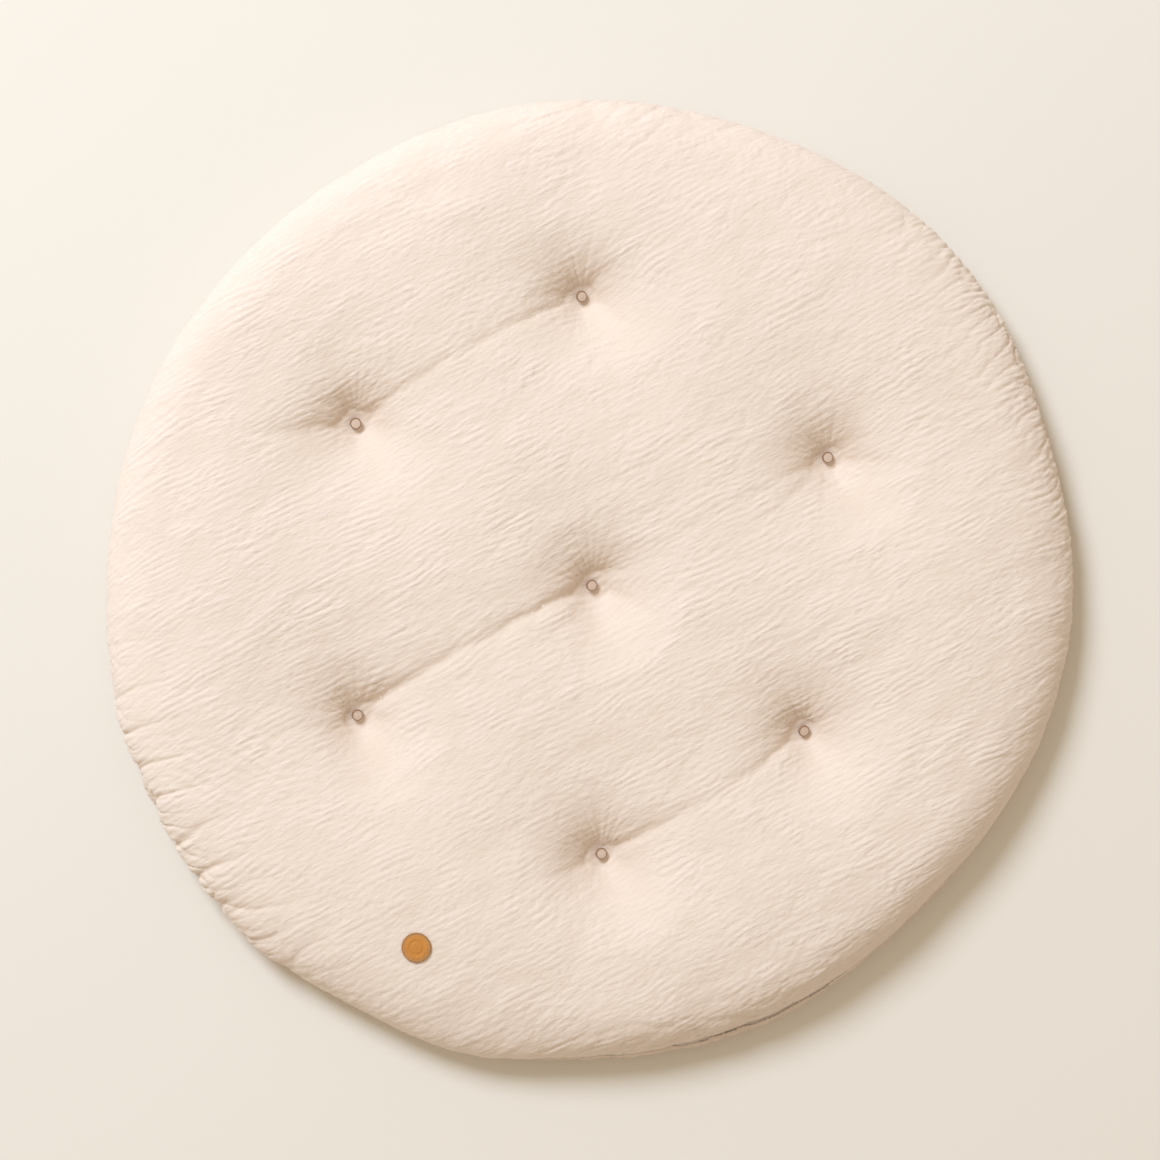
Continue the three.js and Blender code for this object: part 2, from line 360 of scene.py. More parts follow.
def mesh_from(name, points, *faces):
    """A mesh of these points, with faces given as arrays of quads or of triangles."""
    mesh = bpy.data.meshes.new(name)
    mesh.vertices.add(len(points))
    mesh.vertices.foreach_set("co", np.ascontiguousarray(points, dtype=np.float32).ravel())
    turns = np.concatenate([group.ravel() for group in faces]).astype(np.int32)
    sides = np.concatenate([np.full(len(group), group.shape[1]) for group in faces])
    starts = np.concatenate([[0], np.cumsum(sides)[:-1]]).astype(np.int32)
    mesh.loops.add(len(turns))
    mesh.loops.foreach_set("vertex_index", turns)
    mesh.polygons.add(len(sides))
    mesh.polygons.foreach_set("loop_start", starts)
    mesh.update(calc_edges=True)
    mesh.validate()
    mesh.polygons.foreach_set("use_smooth", np.ones(len(sides), dtype=bool))
    return mesh


GRID_EDGES = ((0, slice(None)), (-1, slice(None)), (slice(None), 0), (slice(None), -1))


def quads(index):
    """The faces of a grid of point numbers, which face up."""
    return np.stack([index[:-1, :-1], index[1:, :-1], index[1:, 1:], index[:-1, 1:]], -1).reshape(-1, 4)


def edge_loop(index):
    """The point numbers round a grid's edge, anticlockwise."""
    return np.concatenate([index[:-1, 0], index[-1, :-1], index[:0:-1, -1], index[0, :0:-1]])


def closed_faces(count):
    """Faces of two grids that share their edge: the top's points first, then the bottom's inner points."""
    side = count + 1
    top = np.arange(side * side).reshape(side, side)
    bottom = top.copy()
    bottom[1:-1, 1:-1] = side * side + np.arange((side - 2) ** 2).reshape(side - 2, side - 2)
    return np.concatenate([quads(top), quads(bottom)[:, ::-1]])


def closed_points(top, bottom):
    return np.concatenate([top.reshape(-1, 3), bottom[1:-1, 1:-1].reshape(-1, 3)])


def grids_from(points):
    """The two grids that closed_points put together."""
    side = CELLS + 1
    top = points[: side * side].reshape(side, side, 3)
    bottom = top.copy()
    bottom[1:-1, 1:-1] = points[side * side :].reshape(side - 2, side - 2, 3)
    return top, bottom


@functools.cache
def finer_weights():
    """Weights that put FINER steps on a smooth curve between each two points along a line."""
    places = np.arange(CELLS * FINER + 1) / FINER
    start = np.minimum(places.astype(int), CELLS - 1)
    t = places - start
    shares = (
        (-1, (-t + 2 * t**2 - t**3) / 2),
        (0, (2 - 5 * t**2 + 3 * t**3) / 2),
        (1, (t + 4 * t**2 - 3 * t**3) / 2),
        (2, (t**3 - t**2) / 2),
    )
    weights = np.zeros((len(places), CELLS + 1))
    for step, share in shares:
        np.add.at(weights, (np.arange(len(places)), np.clip(start + step, 0, CELLS)), share)
    return weights


def finer_grid(grid):
    weights = finer_weights()
    return np.stack([weights @ grid[..., axis] @ weights.T for axis in range(grid.shape[-1])], -1)


def grid_normals(grid):
    """The way each point of a grid faces, from the cells round it: up for a grid that lies flat."""
    across = grid[1:, 1:] - grid[:-1, :-1]
    back = grid[:-1, 1:] - grid[1:, :-1]
    facing = np.cross(across, back)
    total = np.zeros_like(grid)
    for x in (slice(0, -1), slice(1, None)):
        for y in (slice(0, -1), slice(1, None)):
            total[x, y] += facing
    return total / np.maximum(np.linalg.norm(total, axis=-1, keepdims=True), 1e-12)


# ---- filling the case


@functools.cache
def filled_case():
    """The disc, the flat pattern, and how far the filling pushes each point of the top and of the bottom."""
    case_settings = settings("pad_case")
    disc = disc_grid()
    rim = rim_radius()
    bearing = np.arctan2(disc[..., 1], disc[..., 0])
    cut = disc * (case_settings.cut_radius * rim(bearing) / rim(bearing).mean())[..., None]
    start = closed_points(stuffed(disc, 1), stuffed(disc, -1))
    moved = blown_up(start, cut, case_settings)
    top_push, bottom_push = grids_from(moved - start)
    for _ in range(PUSH_PASSES):
        top_push, bottom_push = eased(top_push), eased(bottom_push)
    return disc, cut, top_push, bottom_push


def blown_up(start, cut, case_settings):
    """The closed case's points when its cloth, cut flat to the pattern, has settled over the filling."""
    along = unit(GRAIN_BEARING)
    across = sideways(along)
    pattern = (cut @ along)[..., None] * along * case_settings.along_grain
    pattern = pattern + (cut @ across)[..., None] * across * case_settings.across_grain
    level = np.full(cut.shape[:2] + (1,), SEAM_HEIGHT)
    pattern_top = np.concatenate([pattern, level + MM], -1)
    pattern_bottom = np.concatenate([pattern, level - MM], -1)

    case = added("case", mesh_from("case", start, closed_faces(CELLS)))
    case.shape_key_add(name="Basis")
    cut_key = case.shape_key_add(name="cut")
    flat = closed_points(pattern_top, pattern_bottom)
    cut_key.data.foreach_set("co", flat.astype(np.float32).ravel())
    held = case.vertex_groups.new(name="held")
    held.add(list(range(len(start))), case_settings.filling_hold, "REPLACE")
    at_tufts = np.nonzero(distance_from_tufts(start) < HELD_RADIUS)[0]
    held.add([int(n) for n in at_tufts], 1.0, "REPLACE")

    cloth = case.modifiers.new("Cloth", "CLOTH")
    weave = cloth.settings
    for name, value in GAUZE.items():
        setattr(weave, name, value)
    weave.use_pressure = True
    weave.uniform_pressure_force = case_settings.filling_push
    weave.vertex_group_mass = held.name
    weave.rest_shape_key = cut_key
    weave.effector_weights.gravity = 0
    cloth.collision_settings.use_collision = False
    cloth.point_cache.frame_end = SETTLE_FRAMES
    for step in range(1, SETTLE_FRAMES + 1):
        bpy.context.scene.frame_set(step)
    settled = case.evaluated_get(bpy.context.evaluated_depsgraph_get())
    moved = read_points(settled.data)
    bpy.data.objects.remove(case)
    bpy.context.scene.frame_set(1)
    if len(moved) != len(start):
        raise RuntimeError("the cloth simulation lost some of the case's points")
    return moved


# ---- the cloth's own relief

# Creases that run out from a tuft or between two: first tuft, bearing and length or second tuft,
# depth at the start, half way and at the end, and how far the middle bows to the left, all in millimetres.
TUFT_TO_TUFT = (
    (4, 1, (5.8, 3.4, 6.8), 3),
    (3, 2, (3.4, 2.4, 3.8), 4),
    (5, 6, (5.0, 1.8, 5.0), -9),
    (1, 7, (1.4, 0.5, 1.0), 0),
)
TUFT_OUTWARD = (
    (1, 35, 66, (3.4, 2.2, 0), 2),
    (1, -27, 102, (2.0, 1.3, 0), 3),
    (1, 58, 44, (2.8, 1.4, 0), 0),
    (2, 190, 56, (3.4, 2.0, 0), -3),
    (2, 37, 46, (3.6, 2.0, 0), 2),
    (2, -38, 70, (2.0, 1.3, 0), 2),
    (3, 185.5, 117, (4.2, 3.1, 0), 4),
    (3, 196, 74, (2.8, 1.7, 0), 3),
    (3, 27, 52, (2.8, 1.4, 0), -2),
    (3, 100, 40, (2.5, 1.4, 0), 0),
    (4, 217, 45, (3.1, 1.7, 0), 0),
    (4, 38, 58, (2.8, 1.7, 0), 3),
    (5, 205, 59, (4.8, 3.1, 0), 2),
    (5, 184, 44, (2.2, 1.3, 0), 2),
    (6, 130, 92, (2.5, 1.5, 0), -4),
    (6, 22, 40, (2.2, 1.1, 0), 0),
    (7, 25, 48, (3.6, 2.2, 0), 2),
    (7, -7, 86, (2.5, 1.5, 0), -3),
    (7, 205, 52, (3.6, 1.6, 0), 0),
    (7, 223, 119, (2.2, 1.3, 0), 4),
)
FREE_CREASE = (np.array([-0.233, 0.093]), 208, 100, (0, 1.6, 0), -4)

# Where the filling is thin, a wide hollow runs out from each tuft: bearing, length in mm, depth in mm.
HOLLOWS = (
    (-68, 95, 5.6),
    (-52, 80, 4.0),
    (-38, 85, 4.4),
    (-64, 90, 5.2),
    (-60, 80, 4.2),
    (-52, 80, 4.4),
    (-52, 95, 4.2),
)

# Where the seam gathers the cloth: middle, half the width, strength, bearing of the folds, seed, pitch in mm.
GATHERS = (
    (214, 34, 1.7, 12, 31, 36),
    (28, 42, 0.8, 31, 32, 15),
    (88, 32, 0.8, 24, 33, 25),
    (284, 42, 0.6, 22, 34, 20),
    (352, 40, 0.3, 30, 36, 16),
    (140, 40, 0.15, 30, 35, 18),
)

# Where the filling stands out more or less at the rim: bearing, half the width, mm above, mm below.
RIM_SWELLS = (
    (0, 360, 5, 5),
    (42, 30, 8, 8),
    (198, 7, 3, 2),
    (228, 15, 5, 3),
    (255, 16, 8, 7),
    (268, 12, -2, 1),
    (288, 22, -6, 2),
    (314, 26, -9, -6),
    (355, 24, 4, 4),
)
LIGHT_WAY = unit(130)  # towards the lamp, on the slack side of each crease and dimple


@functools.cache
def noise_square(seed, spacing, spread, stretch):
    """A repeating square of noise: lumps of one spacing, or crinkles along its first axis if stretched."""
    random = np.random.default_rng(seed)
    white = np.fft.rfft2(random.standard_normal((NOISE_CELLS, NOISE_CELLS)))
    along = np.fft.fftfreq(NOISE_CELLS, NOISE_WIDTH / NOISE_CELLS)[:, None]
    across = np.fft.rfftfreq(NOISE_CELLS, NOISE_WIDTH / NOISE_CELLS)[None]
    pitch = np.hypot(along, across) if stretch == 0 else across + 0 * along
    band = np.exp(-((np.log(np.maximum(pitch * spacing, 1e-6)) / spread) ** 2))
    band = band * np.exp(-((along * spacing * stretch) ** 2))
    made = np.fft.irfft2(white * band, s=(NOISE_CELLS, NOISE_CELLS))
    return made / made.std()


def noise_at(places, seed, spacing, spread=0.5, stretch=0):
    """The noise at places in metres, read between its cells: spread is how unlike its lumps are in size."""
    square = noise_square(seed, spacing, spread, stretch)
    cell = places * (NOISE_CELLS / NOISE_WIDTH)
    low = np.floor(cell).astype(int)
    part = cell - low
    x, y = low[..., 0], low[..., 1]
    total = 0
    for step_x, share_x in ((0, 1 - part[..., 0]), (1, part[..., 0])):
        for step_y, share_y in ((0, 1 - part[..., 1]), (1, part[..., 1])):
            total = total + share_x * share_y * square[(x + step_x) % NOISE_CELLS, (y + step_y) % NOISE_CELLS]
    return total


def along_folds(flat, bearing):
    """Places turned so that their first number runs along folds of that bearing, which wander a little."""
    along = unit(bearing)
    places = np.stack([flat @ along, flat @ sideways(along)], -1)
    wander = np.stack([noise_at(places, seed, 120 * MM) for seed in SEED["wander"]], -1)
    return places + 0.9 * MM * wander


def crinkles(flat, spacing):
    """Height of the crinkled gauze: 0 in its narrow valleys and about 1 on its ridges."""
    places = along_folds(flat, GRAIN_BEARING)
    long_ones = np.abs(noise_at(places, SEED["long crinkles"], 2 * spacing, stretch=3.2)) ** 0.72
    short_ones = np.abs(noise_at(places, SEED["short crinkles"], 1.1 * spacing, stretch=1.6)) ** 0.8
    uneven = noise_at(places, SEED["crinkle strength"], 80 * MM, spread=0.6)
    strength = np.clip(1 + 0.25 * uneven, 0.5, 1.6)
    return (0.58 * long_ones + 0.42 * short_ones) * strength


def crease(places, start, end, depths, bow):
    """Depth of a crease from start to end, in metres: sharp at its bottom, and wider on its full side."""
    line = end - start
    length = np.linalg.norm(line)
    way = line / length
    offset = places - start
    along = offset @ way / length
    aside = offset @ sideways(way)
    to_light = 1 if LIGHT_WAY @ sideways(way) > 0 else -1
    bowed = bow * MM * 4 * along * (1 - along)
    wobble = 1.1 * MM * noise_at(places, SEED["crease wobble"], 50 * MM)
    off_ends = smooth_step(along, 0.1, 0.3) * smooth_step(-along, -0.95, -0.7)
    aside = to_light * (aside - bowed - wobble * off_ends)
    depth = np.interp(along, (-0.05, 0, 0.5, 1, 1.05), (0, *depths, 0)) * MM
    bottom_radius, slack_width, full_width = 3 * MM, 11 * MM, 22 * MM
    rounded = np.sqrt(aside**2 + bottom_radius**2) - bottom_radius
    side = smooth_step(aside, -bottom_radius, bottom_radius)
    wide = side * np.exp(-rounded / slack_width) + (1 - side) * np.exp(-rounded / full_width)
    tight = 0.14 + 0.5 * np.clip(np.abs(2 * along - 1), 0, 1) ** 1.5
    return depth * (tight * hump(aside, 4.8 * MM) + (1 - tight) * wide)


def creases(panel):
    """Depth of every crease over the top panel."""
    places = panel[..., :2]
    total = crease(places, *free_crease_ends(), *FREE_CREASE[3:])
    for first, second, depths, bow in TUFT_TO_TUFT:
        total = total + crease(places, TUFTS[first - 1], TUFTS[second - 1], depths, bow)
    for first, bearing, length, depths, bow in TUFT_OUTWARD:
        start = TUFTS[first - 1]
        total = total + crease(places, start, start + unit(bearing) * length * MM, depths, bow)
    deepest = 1.2 * MM + 0.5 * np.maximum(distance_from_tufts(panel) - SEAT_RADIUS, 0)
    return np.minimum(total, deepest)


def hollows(panel):
    """Depth of the wide hollows that run out from the tufts, in metres."""
    total = np.zeros(panel.shape[:2])
    for place, (bearing, length, depth) in zip(TUFTS, HOLLOWS):
        way = unit(bearing)
        away = panel[..., :2] - place
        along = away @ way
        aside = away @ sideways(way)
        width = 13 * MM + 0.34 * np.maximum(along, 0)
        fade = np.exp(-((np.maximum(along, 0) / (length * MM)) ** 1.3))
        reach = smooth_step(along, -8 * MM, 16 * MM) * fade
        total += depth * MM * reach * hump(aside, width)
    return total


def free_crease_ends():
    start, bearing, length = FREE_CREASE[:3]
    return start, start + unit(bearing) * length * MM


def pleats(panel, strength):
    """Depth of the fine pleats that fan out from each tuft, most of them on its upper left."""
    total = np.zeros(panel.shape[:2])
    random = np.random.default_rng(SEED["pleats"])
    for place in TUFTS:
        away = panel[..., :2] - place
        distance = np.linalg.norm(away, axis=-1)
        turn = np.arctan2(away[..., 1], away[..., 0])
        phases = random.uniform(0, 2 * math.pi, 4)
        ripple = sum(np.cos(count * turn + phase) for count, phase in zip((7, 10, 13, 16), phases)) / 2
        folds = (1 - np.minimum(np.abs(ripple), 1)) ** 2.2
        fade = np.exp(-np.maximum(distance - 14 * MM, 0) / (26 * MM))
        reach = smooth_step(distance, 7 * MM, 14 * MM) * fade
        side = 0.2 + 0.8 * region(np.degrees(turn), 115, 130)
        total += strength * folds * reach * side
    return total


def gathers(flat, inward, bearing):
    """Depth, from 0 to 1, of the folds that the seam draws up at the rim."""
    total = np.zeros(inward.shape)
    for middle, half_width, strength, fold_bearing, seed, spacing in GATHERS:
        places = along_folds(flat, fold_bearing)
        for share, pitch in ((0.64, spacing * MM), (0.36, 0.4 * spacing * MM)):
            ripple = np.abs(noise_at(places, seed, 2 * pitch, stretch=1.5))
            folds = (1 - np.minimum(ripple, 1)) ** 1.7
            reach = np.exp(-((inward / ((48 * share + 12) * MM)) ** 1.6))
            total += strength * share * folds * reach * region(bearing, middle, half_width)
    return total


def finished_faces(disc, cut, push, up):
    """A panel's outer face, the same face uncrinkled, its flat places and how much painted shade each point
    gets, more the deeper it lies in a fold.
    """
    case_settings = settings("pad_case")
    fine_disc = finer_grid(disc)
    share = np.linalg.norm(fine_disc, axis=-1)
    fine_disc = fine_disc / np.maximum(share, 1)[..., None]
    body = stuffed(fine_disc, up) + finer_grid(push)
    flat = finer_grid(cut)
    facing = up * grid_normals(body)
    inward = (1 - np.minimum(share, 1)) * case_settings.cut_radius
    bearing = np.degrees(np.arctan2(flat[..., 1], flat[..., 0]))

    grain = along_folds(flat, GRAIN_BEARING)
    lumps = 0.2 * MM * noise_at(flat, SEED["lumps"], 110 * MM, spread=0.4)
    lumps += 0.12 * MM * noise_at(grain, SEED["small lumps"], 50 * MM, spread=0.4, stretch=1.2)
    drawn = case_settings.gather_depth * gathers(flat, inward, bearing)
    depth = drawn + 1.4 * MM * hump(inward, 4.5 * MM)
    if up > 0:
        depth = depth + case_settings.crease_depth * (creases(body) + pleats(body, 1.4 * MM) + hollows(body))
    clear_of_seam = smooth_step(inward, 0, 30 * MM)
    near_rim = 1 - smooth_step(inward, 0, 70 * MM)
    swells = ((middle, wide, high if up > 0 else low) for middle, wide, high, low in RIM_SWELLS)
    swell = sum(height * region(bearing, middle, wide) for middle, wide, height in swells)
    swell = swell * MM * near_rim
    outward = flat / np.maximum(np.linalg.norm(flat, axis=-1), 1e-6)[..., None]
    body = body + swell[..., None] * np.concatenate([outward, 0 * outward[..., :1]], -1)
    body = body + facing * (lumps * clear_of_seam - depth)[..., None]
    if up < 0:
        body[..., 2] = np.maximum(body[..., 2], 0)

    crinkle = crinkles(flat, case_settings.crinkle_spacing)
    zero = 0.75 + (0.8 * clear_of_seam if up < 0 else 0)
    face = body + facing * (case_settings.crinkle_height * (crinkle - zero))[..., None]
    face[..., 2] = np.maximum(face[..., 2], 0)
    # Painted shade: how far the colour is darkened in crinkle valleys and in deep creases, pleats, hollows,
    # gathers and at the seam.
    painted_fold_shade = 0.5 * np.clip(0.9 - crinkle, 0, 1) + 0.5 * np.clip(depth / (4 * MM), 0, 1)
    return face, body, flat, painted_fold_shade


# ---- where the small pieces rest


def button_turn(number):
    """How a top button leans: its face is turned a little to the lower right."""
    leans = (0, 3, -4, 2, -2, 4, -3)
    aims = (-42, -36, -48, -40, -34, -46, -38)
    lean = settings("pad_notions").button_tilt + math.radians(leans[number])
    aim = unit(aims[number])
    return Matrix.Rotation(lean, 4, Vector((-aim[1], aim[0], 0)))


def button_place(number):
    x, y = TUFTS[number]
    return Matrix.Translation((x, y, TOP_SEAT + 0.2 * MM)) @ button_turn(number)


def label_rest(body):
    """Where the label's underside lies: tangent to the cloth at its place."""
    points = body[distance_from(body, LABEL_PLACE) < LABEL_BED]
    parts = np.stack([np.ones(len(points)), points[:, 0] - LABEL_PLACE[0], points[:, 1] - LABEL_PLACE[1]], 1)
    level, slope_x, slope_y = np.linalg.lstsq(parts, points[:, 2], rcond=None)[0]
    up = Vector((-slope_x, -slope_y, 1)).normalized()
    turn = up.to_track_quat("Z", "Y").to_matrix().to_4x4()
    return Matrix.Translation((*LABEL_PLACE, level + 0.4 * MM)) @ turn


def pressed_under(face, rest, radius, ease):
    """The cloth kept under a flat piece that rests on it, out to its radius, and eased up beyond it."""
    centre = np.array(rest.translation)
    up = np.array(rest.to_3x3().col[2])
    distance = distance_from(face, centre[:2])
    level = centre[2] - ((face[..., 0] - centre[0]) * up[0] + (face[..., 1] - centre[1]) * up[1]) / up[2]
    limit = level - 0.15 * MM + ease * np.maximum(distance - radius, 0)
    near = distance < 3 * radius
    face[..., 2] = np.where(near, np.minimum(face[..., 2], limit), face[..., 2])


@functools.cache
def panel_faces():
    """Both finished panels and where the label rests on the upper one."""
    disc, cut, top, bottom = filled_case()
    upper = finished_faces(disc, cut, top, 1)
    lower = finished_faces(disc, cut, bottom, -1)
    rest = label_rest(upper[1])
    for number in range(TUFT_COUNT):
        pressed_under(upper[0], button_place(number), size_of("top_button_1", 0) / 2, 0.9)
    pressed_under(upper[0], rest, size_of("leather_label", 0) / 2, 1.5)
    meet_at_seam(upper, lower)
    return upper, lower, rest


def meet_at_seam(upper, lower):
    """Both panels' edges brought to the same line, a hair apart."""
    for part in (0, 1):
        for edge in GRID_EDGES:
            line = (upper[part][edge] + lower[part][edge]) / 2
            upper[part][edge] = line + (0, 0, SEAM_GAP)
            lower[part][edge] = line - (0, 0, SEAM_GAP)


def seam_line():
    """The line that the panels meet on, anticlockwise from the case's lower left corner."""
    upper, _, _ = panel_faces()
    face = upper[0]
    index = np.arange(face.shape[0] * face.shape[1]).reshape(face.shape[:2])
    return face.reshape(-1, 3)[edge_loop(index)] - (0, 0, SEAM_GAP)


# ---- pieces


def finish_piece(piece, node, material):
    """The piece takes its material, rides on the pad and stands for its CAD node."""
    piece.data.materials.append(material)
    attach(piece, "root")
    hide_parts(node)
    return piece


def added(name, data):
    """A new object in the scene, made of a mesh, a curve, a lamp or a camera."""
    piece = bpy.data.objects.new(name, data)
    bpy.context.scene.collection.objects.link(piece)
    return piece


def inward_way(points):
    """The way to the pad's middle from each point, level."""
    way = -points[:, :2] / np.linalg.norm(points[:, :2], axis=1, keepdims=True)
    return np.concatenate([way, np.zeros((len(points), 1))], 1)


def band(first, second):
    """Quads between two loops of as many points, which face down."""
    return np.stack([np.roll(first, -1), first, second, np.roll(second, -1)], 1)


def fanned_band(outer, inner):
    """Triangles between a loop and one with FINER times fewer points, which face down."""
    fans = np.stack([np.roll(outer, -1), outer, np.repeat(inner, FINER)], 1)
    links = np.stack([np.roll(outer[::FINER], -1), inner, np.roll(inner, -1)], 1)
    return np.concatenate([fans, links])


def panel_mesh(name, made, up):
    """One panel as closed cloth: its outer face, its turned-in seam allowance and its inner wall."""
    face, body, flat, painted_fold_shade = made
    outer = np.arange(face.shape[0] * face.shape[1]).reshape(face.shape[:2])
    facing = up * grid_normals(body)
    wall = (body - facing * CLOTH_THICKNESS)[::FINER, ::FINER]
    wall = wall - up * pressed_in(wall, 0, 3 * MM if up > 0 else 1 * MM)
    wall_flat = flat[::FINER, ::FINER]
    side = wall.shape[0]
    inner = outer.size + np.arange(side * side).reshape(side, side)
    outer_loop = edge_loop(outer)
    wall_loop = edge_loop(inner)

    edge = face.reshape(-1, 3)[outer_loop[::FINER]]
    way = inward_way(edge)
    rise = np.array([0, 0, up * 0.8 * CLOTH_THICKNESS])
    turned = edge + way * SEAM_ALLOWANCE
    folded = turned + rise
    wall = wall.reshape(-1, 3)
    wall[wall_loop - outer.size] = edge + way * CLOTH_THICKNESS + rise
    turned_loop = outer.size + side * side + np.arange(len(edge))
    folded_loop = turned_loop + len(edge)

    rim = fanned_band(outer_loop, turned_loop)
    fold = band(turned_loop, folded_loop)
    lining = band(folded_loop, wall_loop)
    walls = [quads(outer), quads(inner)[:, ::-1], fold, lining]
    if up < 0:
        walls = [wall_faces[:, ::-1] for wall_faces in walls]
        rim = rim[:, ::-1]
    points = np.concatenate([face.reshape(-1, 3), wall, turned, folded])
    edge_flat = flat.reshape(-1, 2)[outer_loop[::FINER]]
    places = np.concatenate([flat.reshape(-1, 2), wall_flat.reshape(-1, 2), edge_flat, edge_flat])
    # The painted shade of the folds, kept on each outer point for the gauze's colour.
    depth = np.zeros(len(points), dtype=np.float32)
    depth[: outer.size] = painted_fold_shade.ravel()

    mesh = mesh_from(name, points, *walls, rim)
    turns = np.empty(len(mesh.loops), dtype=np.int32)
    mesh.loops.foreach_get("vertex_index", turns)
    cut_map = mesh.uv_layers.new(name="cut")
    cut_map.data.foreach_set("uv", places[turns].astype(np.float32).ravel())
    mesh.attributes.new("painted_fold_shade", "FLOAT", "POINT").data.foreach_set("value", depth)
    return mesh


def pressed_in(grid, always, at_tufts):
    """How far what lies behind the cloth keeps back from it: further where a button presses on it."""
    depth = always + at_tufts * hump(distance_from_tufts(grid), 24 * MM)
    return depth[..., None] * (0, 0, 1)


def layer_mesh(name, low_share, high_share, seed):
    """A layer of wadding that fills the case between two shares of its depth, well inside the seam."""
    upper, lower, _ = panel_faces()
    top = upper[1][::FINER, ::FINER][1:-1, 1:-1]
    bottom = lower[1][::FINER, ::FINER][1:-1, 1:-1]
    top = top - pressed_in(top, 3 * MM, 6 * MM)
    bottom = bottom + pressed_in(bottom, 2.2 * MM, 2 * MM)
    count = top.shape[0] - 1
    flat = upper[2][::FINER, ::FINER][1:-1, 1:-1]
    fluff = np.clip(noise_at(flat, seed, 30 * MM, spread=0.6), -2, 2)
    fluff = 0.6 * MM * fluff[..., None] * (0, 0, 1)
    low = bottom + low_share * (top - bottom) - fluff
    high = bottom + high_share * (top - bottom) + fluff
    low, high = np.minimum(low, high), np.maximum(low, high)
    middle = (low + high) / 2
    out_from_middle = np.linalg.norm(flat, axis=-1) / settings("pad_case").cut_radius
    middle[..., :2] *= 1 - 0.02 * smooth_step(out_from_middle, 0.8, 0.98)[..., None]
    low[..., :2] = high[..., :2] = middle[..., :2]
    for edge in GRID_EDGES:
        high[edge] = middle[edge]
    return mesh_from(name, closed_points(high, low), closed_faces(count))


# ---- shaping by hand


def alone(piece):
    """Makes a piece the only one chosen."""
    bpy.ops.object.select_all(action="DESELECT")
    piece.select_set(True)
    bpy.context.view_layer.objects.active = piece


def start_disc(name, radius, thickness, sides):
    """A flat disc at the origin, in edit mode with nothing chosen."""
    bpy.ops.object.select_all(action="DESELECT")
    bpy.ops.mesh.primitive_cylinder_add(vertices=sides, radius=radius, depth=thickness)
    piece = bpy.context.object
    piece.name = name
    piece.data.name = name
    bpy.ops.object.mode_set(mode="EDIT")
    choose(piece, "FACE", lambda face: False)
    return piece


def choose(piece, kind, wanted):
    """Chooses the faces or the edges that wanted says yes to."""
    bpy.ops.mesh.select_mode(type=kind)
    bpy.ops.mesh.select_all(action="DESELECT")
    shape = bmesh.from_edit_mesh(piece.data)
    for part in shape.faces if kind == "FACE" else shape.edges:
        part.select_set(wanted(part))
    bmesh.update_edit_mesh(piece.data)


def is_flat(way):
    """Says whether a face is the big one that faces up (1) or down (-1)."""
    return lambda face: face.normal.z * way > 0.9 and len(face.verts) > 8


def is_corner(edge):
    return len(edge.link_faces) == 2 and edge.calc_face_angle() > math.radians(50)


def push(height):
    bpy.ops.mesh.extrude_region_move(TRANSFORM_OT_translate={"value": (0, 0, height)})


def finish_shape(piece, bevel):
    """Rounds the corners, leaves edit mode and smooths the faces."""
    choose(piece, "EDGE", is_corner)
    bpy.ops.mesh.bevel(offset=bevel, segments=3, affect="EDGES")
    bpy.ops.object.mode_set(mode="OBJECT")
    alone(piece)
    bpy.ops.object.shade_smooth_by_angle(angle=math.radians(40))


def mark_edge(mesh, inner, outer):
    """Marks how near each point is to the rim, from 0 at one radius to 1 at another."""
    points = read_points(mesh)
    near = smooth_step(np.hypot(points[:, 0], points[:, 1]), inner, outer)
    mesh.attributes.new("edge", "FLOAT", "POINT").data.foreach_set("value", near.astype(np.float32))


def threads(name, strands, thickness):
    """Threads that follow lines of points, each line open or closed, as one mesh."""
    line = bpy.data.curves.new(name, "CURVE")
    line.dimensions = "3D"
    line.bevel_depth = thickness / 2
    line.bevel_resolution = 1
    line.use_fill_caps = True
    for points, closed in strands:
        spline = line.splines.new("POLY")
        spline.points.add(len(points) - 1)
        placed = np.concatenate([points, np.ones((len(points), 1))], 1)
        spline.points.foreach_set("co", placed.astype(np.float32).ravel())
        spline.use_cyclic_u = closed
    alone(added(name, line))
    bpy.ops.object.convert(target="MESH")
    piece = bpy.context.object
    bpy.ops.object.mode_set(mode="EDIT")
    bpy.ops.mesh.select_all(action="SELECT")
    bpy.ops.mesh.remove_doubles(threshold=1e-6)
    bpy.ops.mesh.normals_make_consistent(inside=False)
    bpy.ops.object.mode_set(mode="OBJECT")
    bpy.ops.object.shade_smooth()
    piece.name = name
    return piece


def round_pad(points):
    """How far along each point of a closed line is."""
    steps = np.linalg.norm(np.roll(points, -1, axis=0) - points, axis=1)
    return np.concatenate([[0], np.cumsum(steps)])


def even_points(points, count):
    """Points evenly spaced along a closed line."""
    length = round_pad(points)
    around = np.concatenate([points, points[:1]])
    places = np.linspace(0, length[-1], count, endpoint=False)
    return np.stack([np.interp(places, length, around[:, axis]) for axis in range(3)], 1)


# ---- finishes


def joined(tree, socket, value):
    """Gives a socket a link or a plain value."""
    if isinstance(value, Wire):
        tree.links.new(value.socket, socket)
    else:
        socket.default_value = value


class Wire:
    """A shader socket that can stand in a sum."""

    def __init__(self, tree, socket):
        self.tree = tree
        self.socket = socket

    def worked(self, operation, first, second):
        node = self.tree.nodes.new("ShaderNodeMath")
        node.operation = operation
        joined(self.tree, node.inputs[0], first)
        joined(self.tree, node.inputs[1], second)
        return Wire(self.tree, node.outputs[0])

    def __add__(self, other):
        return self.worked("ADD", self, other)

    def __radd__(self, other):
        return self.worked("ADD", other, self)

    def __mul__(self, other):
        return self.worked("MULTIPLY", self, other)

    def __rmul__(self, other):
        return self.worked("MULTIPLY", other, self)


